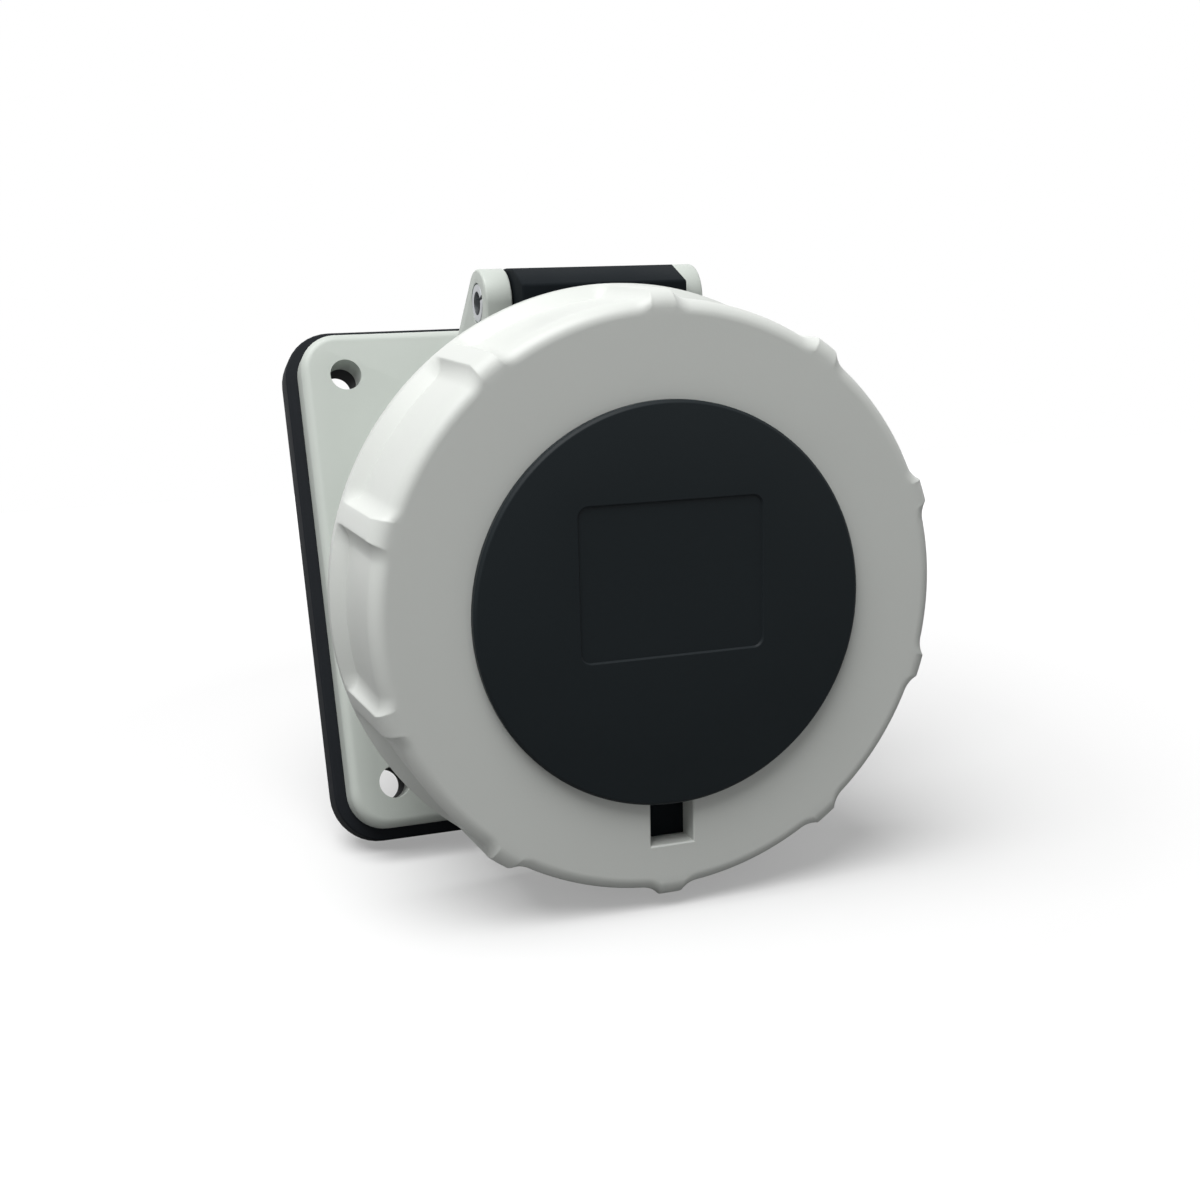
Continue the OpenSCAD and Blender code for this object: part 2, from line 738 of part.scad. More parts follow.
module spring_l1() { at_contact(1) sleeve_spring(line_pin); }
module spring_l2() { at_contact(2) sleeve_spring(line_pin); }
module spring_l3() { at_contact(3) sleeve_spring(line_pin); }
module spring_neutral() { at_contact(4) sleeve_spring(line_pin); }
module spring_earth() { at_contact(0) sleeve_spring(earth_pin); }
module spring_pilot() { on_axis() sleeve_spring(pilot_pin); }

// Headless screw with a hexagon socket, pointing outwards along x from radius r1
module clamp_screw(r, h, r1) {
    translate([r1, 0, screw_at]) rotate([0, 90, 0]) difference() {
        cylinder(r = r, h = h);
        translate([0, 0, h - r]) cylinder(r = r * KEY_SHARE, h = r + 1, $fn = 6);
    }
}

module terminal_screws() {
    color("#b9bcbe") for (k = [0:4]) at_contact(k)
        clamp_screw(clamp_screw_r, clamp_screw_len, wire_r - screw_nip);
}

module pilot_screw() {
    color("#b9bcbe") on_axis() rotate([0, 0, pilot_screw_at])
        clamp_screw(pilot_screw_r, pilot_screw_len, pilot_wire_r - screw_nip / 2);
}

flange_housing();
flange_gasket();
lid_body();
lid_disc();
lid_seal();
locking_ring();
hinge_pin();
contact_carrier();
carrier_seal();
terminal_block();
carrier_screws();
contact_l1();
contact_l2();
contact_l3();
contact_neutral();
contact_earth();
contact_pilot();
spring_l1();
spring_l2();
spring_l3();
spring_neutral();
spring_earth();
spring_pilot();
terminal_screws();
pilot_screw();
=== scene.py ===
import json
import math

import bmesh
import bpy
from mathutils import Matrix, Vector


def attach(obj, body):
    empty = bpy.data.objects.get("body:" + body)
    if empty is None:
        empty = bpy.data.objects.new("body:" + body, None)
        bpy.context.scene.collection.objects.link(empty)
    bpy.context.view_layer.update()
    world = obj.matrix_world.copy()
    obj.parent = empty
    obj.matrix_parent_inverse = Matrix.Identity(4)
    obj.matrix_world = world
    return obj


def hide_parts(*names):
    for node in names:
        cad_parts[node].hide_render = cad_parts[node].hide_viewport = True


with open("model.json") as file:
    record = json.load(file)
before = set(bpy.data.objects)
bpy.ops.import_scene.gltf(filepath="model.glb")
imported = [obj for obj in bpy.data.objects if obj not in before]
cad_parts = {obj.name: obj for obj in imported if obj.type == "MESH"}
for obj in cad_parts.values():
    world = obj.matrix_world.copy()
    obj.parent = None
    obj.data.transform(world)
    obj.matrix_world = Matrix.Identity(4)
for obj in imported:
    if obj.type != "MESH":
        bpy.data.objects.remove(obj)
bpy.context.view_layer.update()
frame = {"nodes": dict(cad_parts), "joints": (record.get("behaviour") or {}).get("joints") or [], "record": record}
print("frame loaded:", len(frame["nodes"]), "nodes")

# Two working spaces, both in millimetres: the panel's own, and one along the tilted socket axis,
# with x to the right, y down and z back from the disc's front face
perMetre = 1000
toMetres = Matrix.Scale(1 / perMetre, 4)
joints = {joint["name"]: joint for joint in frame["joints"]}
axisBack = Vector(joints["ring_turn"]["axis"]).normalized()
axisRight = Vector((1, 0, 0))
axisDown = axisBack.cross(axisRight)
axisStart = Vector(joints["ring_turn"]["pos_m"]) * perMetre
socketSpace = Matrix.Translation(axisStart) @ Matrix((axisRight, axisDown, axisBack)).transposed().to_4x4()
panelSpace = Matrix.Identity(4)
hingeAt = Vector(joints["lid_hinge"]["pos_m"]) * perMetre
scene = bpy.context.scene


# Meshes, in millimetres until a piece is placed

past = 1.0  # how far a cutter runs beyond a face, and how deep a joined form starts inside another
mergeGap = 1e-4  # points closer than this become one
cornerShare = 0.45  # the most of a side that one rounded corner takes
leastCorner = 0.02  # a corner that would be rounded by less stays sharp


def newObject(name, points, faces):
    mesh = bpy.data.meshes.new(name)
    mesh.from_pydata(points, [], faces)
    work = bmesh.new()
    work.from_mesh(mesh)
    bmesh.ops.remove_doubles(work, verts=work.verts, dist=mergeGap)
    bmesh.ops.recalc_face_normals(work, faces=work.faces)
    work.to_mesh(mesh)
    work.free()
    obj = bpy.data.objects.new(name, mesh)
    scene.collection.objects.link(obj)
    return obj


def skin(name, loops, ringed=False):  # ringed joins the last loop to the first, otherwise both ends close
    count = len(loops[0])
    points = [p for loop in loops for p in loop]
    faces = []
    for i in range(len(loops) if ringed else len(loops) - 1):
        a = i * count
        b = (i + 1) % len(loops) * count
        faces += [(a + k, a + (k + 1) % count, b + (k + 1) % count, b + k) for k in range(count)]
    if not ringed:
        faces += [tuple(range(count)), tuple(range(len(points) - count, len(points)))]
    return newObject(name, points, faces)


def around(radius, angle):  # a point on a circle, at an angle in radians
    return radius * math.cos(angle), radius * math.sin(angle)


def bend(start, corner, end, t):  # a point on the curve from start to end that is drawn towards corner
    return start * (1 - t) ** 2 + corner * 2 * t * (1 - t) + end * t * t


def softened(outline, radius, steps=3, keep=()):  # rounds a closed outline's corners, except those in keep
    out = []
    for i, point in enumerate(outline):
        corner = Vector(point)
        before = Vector(outline[i - 1]) - corner
        after = Vector(outline[(i + 1) % len(outline)]) - corner
        cut = min(radius, before.length * cornerShare, after.length * cornerShare)
        if i in keep or cut < leastCorner:
            out.append(corner)
            continue
        start = corner + before.normalized() * cut
        end = corner + after.normalized() * cut
        out += [bend(start, corner, end, k / steps) for k in range(steps + 1)]
    return out


def turned(name, profile, steps=160):  # a closed profile of (radius, depth), turned about the axis
    loops = []
    for k in range(steps):
        loops.append([(*around(r, math.tau * k / steps), z) for r, z in profile])
    return skin(name, loops, ringed=True)


def pushed(name, outline, low, high, across):  # from low to high; across makes a point of (u, v, w)
    return skin(name, [[across(u, v, w) for u, v in outline] for w in (low, high)])


def alongAxis(u, v, w):
    return u, v, w


def roundedSquare(side, corner, steps=10, height=None):
    halfWide = side / 2 - corner
    halfHigh = (height or side) / 2 - corner
    out = []
    for turn, sx, sy in ((0, 1, 1), (90, -1, 1), (180, -1, -1), (270, 1, -1)):
        for k in range(steps + 1):
            x, y = around(corner, math.radians(turn + 90 * k / steps))
            out.append((sx * halfWide + x, sy * halfHigh + y))
    return out


def rod(name, radius, start, end, steps=64):  # a round bar between two points
    start, end = Vector(start), Vector(end)
    along = (end - start).normalized()
    side = along.orthogonal().normalized()
    other = along.cross(side)
    loops = []
    for middle in (start, start + along * (end - start).length):
        spokes = [around(radius, math.tau * k / steps) for k in range(steps)]
        loops.append([middle + side * x + other * y for x, y in spokes])
    return skin(name, loops)


def settle(obj):  # bakes an object's modifiers into its mesh
    mesh = bpy.data.meshes.new_from_object(obj.evaluated_get(bpy.context.evaluated_depsgraph_get()))
    obj.modifiers.clear()
    obj.data = mesh
    return obj


def bevelled(obj, width, segments=3, angle=40):
    bevel = obj.modifiers.new("edge", "BEVEL")
    bevel.width = width
    bevel.segments = segments
    bevel.limit_method = "ANGLE"
    bevel.angle_limit = math.radians(angle)
    return settle(obj)


def shaped(obj, operation, *others):  # UNION or DIFFERENCE with other objects, which are used up
    for other in others:
        cut = obj.modifiers.new("shape", "BOOLEAN")
        cut.operation = operation
        cut.object = other
        cut.solver = "EXACT"
        settle(obj)
        bpy.data.objects.remove(other)
    return obj


def moved(obj, space):
    obj.data.transform(space)
    return obj


def placed(obj, name, space, body, slot, node, sharp=30):  # from the angle sharp on, an edge shades crisp
    obj.name = name
    obj.data.transform(toMetres @ space)
    for face in obj.data.polygons:
        face.use_smooth = True
    obj.data.set_sharp_from_angle(angle=math.radians(sharp))
    obj.data.materials.clear()
    obj.data.materials.append(finishes[slot])
    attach(obj, body)
    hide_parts(node)
    return obj


# Finishes: moulded plastic, rubber and metal share one recipe, with a slow drift in colour, a changing
# roughness and the mould's fine spark texture. dust lifts the lighter end of the drift a little
texture = {"noiseLow": 0.3, "noiseHigh": 0.7, "driftScale": 24, "driftDetail": 3, "roughScale": 90,
           "roughDetail": 4, "roughSpread": 0.04, "grainDetail": 2, "grainStrength": 0.6, "dust": 0.0003}


def linear(red, green, blue):  # 0 to 255, as a colour is read off a swatch, by the sRGB curve
    levels = (red, green, blue)
    return tuple(((c / 255 + 0.055) / 1.055) ** 2.4 if c > 10 else c / 255 / 12.92 for c in levels) + (1,)


def finish(name, colour, rough, specular, grain=0.00002, grainSize=2600, drift=0.03, metal=0.0):
    material = bpy.data.materials.new(name)
    material.use_nodes = True
    nodes, links = material.node_tree.nodes, material.node_tree.links
    shader = nodes["Principled BSDF"]
    shader.inputs["Metallic"].default_value = metal
    shader.inputs["Specular IOR Level"].default_value = specular
    place = nodes.new("ShaderNodeTexCoord")

    def noise(scale, detail):
        made = nodes.new("ShaderNodeTexNoise")
        made.inputs["Scale"].default_value = scale
        made.inputs["Detail"].default_value = detail
        links.new(place.outputs["Object"], made.inputs["Vector"])
        return made.outputs["Fac"]

    darker = tuple(c * (1 - drift) for c in colour[:3]) + (1,)
    lighter = tuple(min(c * (1 + drift) + texture["dust"], 1) for c in colour[:3]) + (1,)
    tint = nodes.new("ShaderNodeMix")
    tint.data_type = "RGBA"
    tint.inputs["A"].default_value = darker
    tint.inputs["B"].default_value = lighter
    links.new(noise(texture["driftScale"], texture["driftDetail"]), tint.inputs["Factor"])
    links.new(tint.outputs["Result"], shader.inputs["Base Color"])
    wear = nodes.new("ShaderNodeMapRange")
    wear.inputs["From Min"].default_value = texture["noiseLow"]
    wear.inputs["From Max"].default_value = texture["noiseHigh"]
    wear.inputs["To Min"].default_value = rough - texture["roughSpread"]
    wear.inputs["To Max"].default_value = rough + texture["roughSpread"]
    links.new(noise(texture["roughScale"], texture["roughDetail"]), wear.inputs["Value"])
    links.new(wear.outputs["Result"], shader.inputs["Roughness"])
    bump = nodes.new("ShaderNodeBump")
    bump.inputs["Distance"].default_value = grain
    bump.inputs["Strength"].default_value = texture["grainStrength"]
    links.new(noise(grainSize, texture["grainDetail"]), bump.inputs["Height"])
    links.new(bump.outputs["Normal"], shader.inputs["Normal"])
    return material


finishes = {
    "grey_plastic": finish("housing_plastic", linear(190, 196, 190), 0.42, 0.4),
    "ring_plastic": finish("ring_plastic", linear(209, 212, 208), 0.4, 0.4),
    "black_plastic": finish("lid_plastic", linear(25, 29, 32), 0.55, 0.02, drift=0.08),
    "disc_plastic": finish("disc_plastic", linear(26, 32, 35), 0.48, 0.14, drift=0.06),
    "gasket_rubber": finish("gasket_rubber", linear(23, 26, 30), 0.65, 0.12,
                            grain=0.00004, grainSize=1500, drift=0.12),
    "seal_rubber": finish("seal_rubber", linear(52, 54, 56), 0.62, 0.3, grain=0.00003, drift=0.1),
    "insert_plastic": finish("insert_plastic", linear(58, 61, 64), 0.5, 0.35, drift=0.06),
    "contact_brass": finish("nickelled_brass", linear(206, 190, 150), 0.28, 0.5,
                            grain=0.00001, grainSize=900, metal=1.0),
    "steel": finish("zinc_steel", linear(178, 181, 184), 0.34, 0.5, grain=0.00001, grainSize=1200, metal=1.0),
}
print("finishes made:", len(finishes))

# Ring: a grid of angle columns round the axis and profile rows from the bore over the front to the inside.
# Depths run back from the disc's face, and an edge's In and Back are its rounding across and along the axis
ring = {
    "radius": 53.0, "wall": 3.8, "front": 2.2, "frontWall": 5.1, "depth": 26.3,
    "hubBore": 30.08, "boreEdge": 0.35, "faceRows": (36.0, 44.4), "faceEnd": 0.25,
    "edgeIn": 2.6, "edgeBack": 3.4, "creaseGap": 0.2,
    "ribs": 10, "firstRib": 90, "ribHeight": 1.6, "ribRise": 0.6, "ribTop": 3.8, "ribFlank": 4.4,
    "ribEdgeIn": 3.3, "ribEdgeBack": 3.7, "ribCorner": 0.2, "ribCornerTurn": 0.07,
    "flareLength": 2.6, "rimRadius": 55.4, "rimWidth": 2.5,
    "rimEdge": 0.5, "rimEdgeMiddle": 0.15, "rimInnerEdge": 0.3, "fillet": 1.2, "filletMiddle": 0.35,
    "windowWidth": 8.3, "windowNear": 33.0, "windowFar": 44.2, "windowEdge": 0.25,
    "lugInner": 43.0, "lugOuter": 53.6, "lugArc": 18, "lugFront": 23.9, "lugBack": 27.8, "lugEdge": 0.4,
}


def ribSection(cornerSteps=4, flankSteps=16):  # (distance from the rib's middle, height) along half a rib
    half, high, flank = ring["ribTop"] / 2, ring["ribHeight"], ring["ribFlank"]
    foot = half + math.sqrt(flank ** 2 - (flank - high) ** 2)
    lowest = math.asin((flank - high) / flank) + ring["ribCornerTurn"]

    def onFlank(turn):  # the flank is hollow, and runs out level at the rib's foot
        return foot - flank * math.cos(turn), flank - flank * math.sin(turn)

    start, corner = Vector((half - ring["ribCorner"], high)), Vector((half, high))
    end = Vector(onFlank(lowest))
    out = [(0.0, high), (half / 2, high)]
    out += [tuple(bend(start, corner, end, k / cornerSteps)) for k in range(cornerSteps + 1)]
    for k in range(1, flankSteps + 1):
        out.append(onFlank(lowest + (math.pi / 2 - lowest) * k / flankSteps))
    return out


def ringColumns(bellySteps=12):  # (angle, how far the ring stands out there)
    half = [(math.degrees(t / (ring["radius"] + lift)), lift) for t, lift in ribSection()]
    foot = half[-1][0]
    step = 180 / ring["ribs"]
    half += [(foot + (step - foot) * k / bellySteps, 0.0) for k in range(1, bellySteps)]
    half.append((step, 0.0))
    period = [(-a, lift) for a, lift in reversed(half[1:])] + half[:-1]
    return [(ring["firstRib"] + 2 * step * k + a, lift) for k in range(ring["ribs"]) for a, lift in period]


def roundedEdge(outer, reach, back, depth):  # the radius at a depth behind the front face
    share = min(1.0, depth / back)
    return outer - reach + reach * math.sqrt(1 - (1 - share) ** 2)


def bellyEdge(depth):
    return roundedEdge(ring["radius"], ring["edgeIn"], ring["edgeBack"], depth)


def ribEdge(depth):
    return roundedEdge(ring["radius"] + ring["ribHeight"], ring["ribEdgeIn"], ring["ribEdgeBack"], depth)


def creaseDepth(lift, rounds=40, slack=1e-6):  # where the rib's rounded front meets its flank, for one column
    low, high = 0.0, ring["ribEdgeBack"]
    if ribEdge(high) - bellyEdge(high) <= lift + slack:
        return high
    if ribEdge(low) - bellyEdge(low) >= lift:
        return low
    for _ in range(rounds):
        middle = (low + high) / 2
        if ribEdge(middle) - bellyEdge(middle) < lift:
            low = middle
        else:
            high = middle
    return low


def edgeRows(lift, steps=8):  # the rounded front: the rib's own rounding up to the crease, then the belly's
    crease = creaseDepth(lift)
    rows = []
    last = math.acos(1 - crease / ring["ribEdgeBack"])
    for k in range(steps + 1):
        depth = ring["ribEdgeBack"] * (1 - math.cos(last * k / steps))
        rows.append((ribEdge(depth) if crease > 0 else bellyEdge(0) + lift, ring["front"] + depth))
    first = math.acos(1 - min(1.0, crease / ring["edgeBack"]))
    for k in range(1, steps + 1):
        depth = ring["edgeBack"] * (1 - math.cos(first + (math.pi / 2 - first) * k / steps))
        rows.append((bellyEdge(depth) + lift, ring["front"] + max(depth, crease)))
    return rows


def ringProfile(lift, bellySteps=5):  # closed, as (radius, depth)
    front, back, outer = ring["front"], ring["front"] + ring["depth"], ring["radius"] + lift
    inside, inner = front + ring["frontWall"], ring["radius"] - ring["wall"]
    rim, rimAt = ring["rimRadius"], back - ring["rimWidth"]
    rimInner = rim - ring["wall"]
    flareAt = rimAt - ring["flareLength"]
    flare = outer + ring["ribRise"] * lift / ring["ribHeight"]
    near, far = ring["faceRows"]
    rows = [(ring["hubBore"], inside), (ring["hubBore"], front + ring["boreEdge"])]
    rows += [(ring["hubBore"] + ring["boreEdge"], front), (near, front), (far, front)]
    rows.append((ring["radius"] - ring["edgeIn"] - ring["faceEnd"], front))
    rows += edgeRows(lift)
    start, end = rows[-1][1], flareAt - ring["creaseGap"]
    for k in range(1, bellySteps + 1):
        t = k / bellySteps
        rows.append((outer + (flare - outer) * t, start + (end - start) * t))
    rows += [(flare, flareAt), ((flare + rim) / 2, (flareAt + rimAt) / 2), (rim, rimAt)]
    rows += [(rim, back - ring["rimEdge"]), (rim - ring["rimEdgeMiddle"], back - ring["rimEdgeMiddle"])]
    rows += [(rim - ring["rimEdge"], back), (rimInner + ring["rimInnerEdge"], back)]
    rows += [(rimInner, back - ring["rimInnerEdge"]), (rimInner, rimAt)]
    rows += [(inner, flareAt), (inner, (flareAt + inside) / 2), (inner, inside + ring["fillet"])]
    rows += [(inner - ring["filletMiddle"], inside + ring["filletMiddle"]), (inner - ring["fillet"], inside)]
    rows += [(far, inside), (near, inside)]
    return rows


def windowCut():  # slightly wider at the front, for the window's bevelled edge
    half, low, high = ring["windowWidth"] / 2, ring["windowNear"], ring["windowFar"]
    front, back, edge = ring["front"], ring["front"] + ring["frontWall"] + past, ring["windowEdge"]
    loops = []
    for g, z in ((edge, front - past), (edge, front), (0.0, front + edge), (0.0, back)):
        left, right, far = -half - g, half + g, high + g
        loops.append([(left, low, z), (right, low, z), (right, far, z), (left, far, z)])
    return skin("windowCut", loops)


def lug(at):  # catches one of the collar's ramps
    half = ring["lugArc"] // 2
    outline = [around(ring["lugInner"], math.radians(at + a)) for a in range(-half, half + 1)]
    outline += [around(ring["lugOuter"], math.radians(at + a)) for a in range(half, -half - 1, -1)]
    return bevelled(pushed("lug", outline, ring["lugFront"], ring["lugBack"], alongAxis), ring["lugEdge"], 2)


def makeRing():
    loops = []
    for angle, lift in ringColumns():
        loops.append([(*around(r, math.radians(angle)), z) for r, z in ringProfile(lift)])
    shell = skin("ringShell", loops, ringed=True)
    shaped(shell, "DIFFERENCE", windowCut())
    for at in (0, 180):
        shaped(shell, "UNION", lug(at))
    return placed(shell, "locking_ring_shell", socketSpace, "ring", "ring_plastic", "locking_ring", sharp=28)


ringShell = makeRing()
print("ring built:", len(ringShell.data.polygons), "faces")

# Disc, with its skirt, the ridge that snaps into the hub, and the bare label recess
disc = {"radius": 36.0, "thick": 2.0, "bevel": 0.5, "soft": 0.12, "skirtOuter": 26.95, "skirtWall": 2.4,
        "skirtEnd": 7.6, "snapFront": 5.15, "snapTop": 5.35, "snapBack": 5.55, "snapRise": 0.35,
        "labelWidth": 34.2, "labelHeight": 27.3, "labelUp": 5.0, "labelDepth": 0.4, "labelCorner": 1.8,
        "labelRimOut": 0.18, "labelRimDeep": 0.16, "labelFloorIn": 0.12}
axisGap = 0.001  # a solid turning starts this far off its axis


def discProfile():
    radius, edge, thick = disc["radius"], disc["bevel"], disc["thick"]
    skirt, end = disc["skirtOuter"], disc["skirtEnd"]
    skirtInner = skirt - disc["skirtWall"]
    points = [(axisGap, 0), (radius - edge, 0), (radius, edge), (radius, thick), (skirt, thick)]
    points.append((skirt, disc["snapFront"]))
    points += [(skirt + disc["snapRise"], disc["snapTop"]), (skirt, disc["snapBack"])]
    points += [(skirt, end), (skirtInner, end), (skirtInner, thick), (axisGap, thick)]
    return softened(points, disc["soft"], steps=2, keep=(0, 4, 10, 11))


def labelCut():
    deep = disc["labelDepth"]
    grows = ((disc["labelRimOut"], -past), (disc["labelRimOut"], 0.0), (0.0, disc["labelRimDeep"]),
             (0.0, deep - disc["labelFloorIn"]), (-disc["labelFloorIn"], deep))
    loops = []
    for grow, depth in grows:
        outline = roundedSquare(disc["labelWidth"] + 2 * grow, disc["labelCorner"] + grow,
                                height=disc["labelHeight"] + 2 * grow)
        loops.append([(x, y - disc["labelUp"], depth) for x, y in outline])
    return skin("recessCut", loops)


def makeDisc():
    plate = shaped(turned("lidDisc", discProfile(), steps=200), "DIFFERENCE", labelCut())
    return placed(plate, "lid_disc_moulding", socketSpace, "lid", "disc_plastic", "lid_disc", sharp=24)


makeDisc()

# Lid: plate, hub and seal lips in one turning, and the arm up to the hinge. roomFront and roomBack are the
# ends of the space cut out of the arm for the collar, and pinRoomHalf is half the pin drill's reach
lid = {"hub": 30.0, "hubWall": 3.0, "hubFront": 2.4, "soft": 0.4,
       "plateFront": 7.6, "plateBack": 11.6, "plateRadius": 48.7,
       "sealInner": 36.85, "sealOuter": 41.65, "lip": 1.6, "sealBack": 13.0, "lipDrop": 0.3, "grooveAt": 10.0,
       "armWidth": 32.4, "armFront": 31.0, "armThick": 5.6, "armSlope": 6.8, "armDrop": 2.9,
       "armInner": 42.5, "armEdge": 0.45, "bandEdge": 0.4, "roomFront": 5, "roomBack": 60,
       "hingeBack": 42.5, "hingeUp": 52.2, "barrel": 6.3, "barrelStep": 9, "pinBore": 3.88, "pinRoomHalf": 20}


def lidProfile():
    hub, hubInner = lid["hub"], lid["hub"] - lid["hubWall"]
    front, back, sealBack = lid["plateFront"], lid["plateBack"], lid["sealBack"]
    sealOuter, sealInner = lid["sealOuter"], lid["sealInner"]
    lipOuter, lipInner, lipBack = sealOuter + lid["lip"], sealInner - lid["lip"], sealBack - lid["lipDrop"]
    points = [(hubInner, lid["hubFront"]), (hub, lid["hubFront"]), (hub, front)]
    points += [(lid["plateRadius"], front), (lid["plateRadius"], back), (lipOuter, back)]
    points += [(lipOuter, sealBack), (sealOuter, sealBack)]
    points += [(sealOuter, lid["grooveAt"]), (sealInner, lid["grooveAt"])]
    points += [(sealInner, lipBack), (lipInner, lipBack), (lipInner, back)]
    points += [(axisGap, back), (axisGap, front), (hubInner, front)]
    return softened(points, lid["soft"], keep=(2, 13, 14, 15))


def acrossArm(u, v, w):  # u is the depth, v the height over the axis and w the place across the arm
    return w, -v, u


def makeArm(columns=24):
    wide, inner, front = lid["armWidth"] / 2, lid["armInner"], lid["armFront"]
    back, top, low = front + lid["armThick"], lid["hingeUp"] + lid["barrel"], lid["hingeUp"] - lid["barrel"]
    side = [(front, inner - past), (front, top - lid["armDrop"]), (front + lid["armSlope"], top)]
    for a in range(0, 181, lid["barrelStep"]):
        up, along = around(lid["barrel"], math.radians(a))
        side.append((lid["hingeBack"] + along, lid["hingeUp"] + up))
    side += [(back, low), (back, inner - past)]
    arm = bevelled(pushed("arm", side, -wide, wide, acrossArm), lid["armEdge"])
    places = [wide * (2 * k / columns - 1) for k in range(columns + 1)]
    line = [(x, -math.sqrt(lid["plateRadius"] ** 2 - x * x)) for x in places]
    line += [(x, -math.sqrt(inner ** 2 - x * x)) for x in reversed(places)]
    band = bevelled(pushed("band", line, lid["plateFront"] + past, back, alongAxis), lid["bandEdge"], 2)
    room = rod("collarRoom", inner, (0, 0, lid["roomFront"]), (0, 0, lid["roomBack"]), steps=160)
    shaped(arm, "DIFFERENCE", room)
    return shaped(arm, "UNION", band)


def makeLid():
    body = shaped(turned("lidBody", lidProfile()), "UNION", makeArm())
    start = (-lid["pinRoomHalf"], -lid["hingeUp"], lid["hingeBack"])
    end = (lid["pinRoomHalf"], -lid["hingeUp"], lid["hingeBack"])
    shaped(body, "DIFFERENCE", rod("pinRoom", lid["pinBore"], start, end))
    return placed(body, "lid_moulding", socketSpace, "lid", "black_plastic", "lid_body")


makeLid()

# Seal in the lid, with a rounded back
seal = {"inner": 36.9, "outer": 41.6, "front": 10.0, "side": 12.3, "back": 13.0, "backInner": 37.9,
        "backOuter": 40.6, "soft": 0.6}


def makeSeal():
    points = [(seal["inner"], seal["front"]), (seal["outer"], seal["front"]), (seal["outer"], seal["side"])]
    points += [(seal["backOuter"], seal["back"]), (seal["backInner"], seal["back"])]
    points.append((seal["inner"], seal["side"]))
    rubber = turned("lidSeal", softened(points, seal["soft"], steps=4, keep=(0, 1)))
    return placed(rubber, "lid_seal_rubber", socketSpace, "lid", "seal_rubber", "lid_seal")


makeSeal()
print("disc, lid and seal built")

# Housing: flange, collar, rear skirt, ramps and ears in one moulding. The flange's and the ears' sizes are in
# the panel's space, the collar's along the socket axis. holeAhead, holeBehind and pinHoleHalf are only how
# far the drills for the screws and the pin reach
housing = {"flange": 100.4, "corner": 7.5, "edge": 1.8, "front": -13.4, "back": -6.6,
           "backEdgeIn": 0.25, "backEdgeDeep": 0.4,
           "holePitch": 82.8, "hole": 3.15, "holeAhead": 0.349, "holeBehind": 5,
           "collar": 41.0, "collarInner": 37.5, "collarFront": 13.3, "soft": 0.5, "floor": 60.0,
           "floorBack": 66.0, "skirt": 39.3, "skirtInner": 36.6, "skirtBack": 92.0, "floorHole": 29.3,
           "clearRadius": 39.0, "clearFront": 10, "clearBack": 95,
           "keyWidth": 8.0, "keyDepth": 1.8, "keyInner": 30,
           "rampRoot": 40.2, "ramp": 46.5, "rampFront": 19.0, "rampBack": 23.6,
           "rampFirst": 20, "rampArc": 30, "leadArc": 8, "rampEdge": 0.4,
           "earGap": 33.0, "ear": 5.2, "earRadius": 6.3, "earLand": 36.2, "earRoot": 33.0, "earEdge": 0.5,
           "pinHole": 3.825, "pinHoleHalf": 30, "lean": 20.0}
halfPitch = housing["holePitch"] / 2
screwPlaces = [(x, z) for x in (-halfPitch, halfPitch) for z in (-halfPitch, halfPitch)]


def upright(u, v, w):  # an outline in x and z, pushed along y
    return u, w, v


def acrossEar(u, v, w):  # an outline in y and z, pushed along x
    return w, u, v


def squarePlate(name, side, corner, rows):  # rows give (how far the edge is drawn in, y)
    loops = []
    for g, y in rows:
        loops.append([upright(u, v, y) for u, v in roundedSquare(side - 2 * g, corner - g)])
    return skin(name, loops)


def frontRounding(radius, front, steps):  # the rows that round off a plate's front edge
    turns = [math.radians(90 * k / steps) for k in range(steps + 1)]
    return [(radius * (1 - math.sin(turn)), front + radius * (1 - math.cos(turn))) for turn in turns]


def flangePlate():
    rows = frontRounding(housing["edge"], housing["front"], steps=6)
    rows += [(0.0, housing["back"] - housing["backEdgeDeep"]), (housing["backEdgeIn"], housing["back"])]
    return squarePlate("flange", housing["flange"], housing["corner"], rows)


def sidePoint(depth, height):  # a depth along the socket axis and a height over it, as (y, z) of the panel
    point = socketSpace @ Vector((0, -height, depth))
    return Vector((point.y, point.z))


def earOutline(steps=24):  # round the pin, then straight down to the flange and into the collar
    middle = Vector((hingeAt.y, hingeAt.z))
    foot = Vector((housing["front"], housing["earLand"]))
    toHinge = middle - foot
    touch = math.atan2(toHinge.y, toHinge.x) + math.pi + math.acos(housing["earRadius"] / toHinge.length)
    start, end = 180 + housing["lean"], math.degrees(touch) % 360
    line = []
    for k in range(steps + 1):
        angle = math.radians(start + (end - start) * k / steps)
        line.append(middle + housing["earRadius"] * Vector((math.cos(angle), math.sin(angle))))
    sunk = housing["back"] - past
    root = sidePoint(lid["hingeBack"] - housing["earRadius"], housing["earRoot"])
    line += [foot, Vector((sunk, housing["earLand"])), Vector((sunk, root.y)), root]
    return [tuple(point) for point in line]


def makeEars():
    ears = []
    for at in (-housing["earGap"] / 2 - housing["ear"], housing["earGap"] / 2):
        ear = pushed("ear", earOutline(), at, at + housing["ear"], acrossEar)
        ears.append(bevelled(ear, housing["earEdge"]))
    return ears


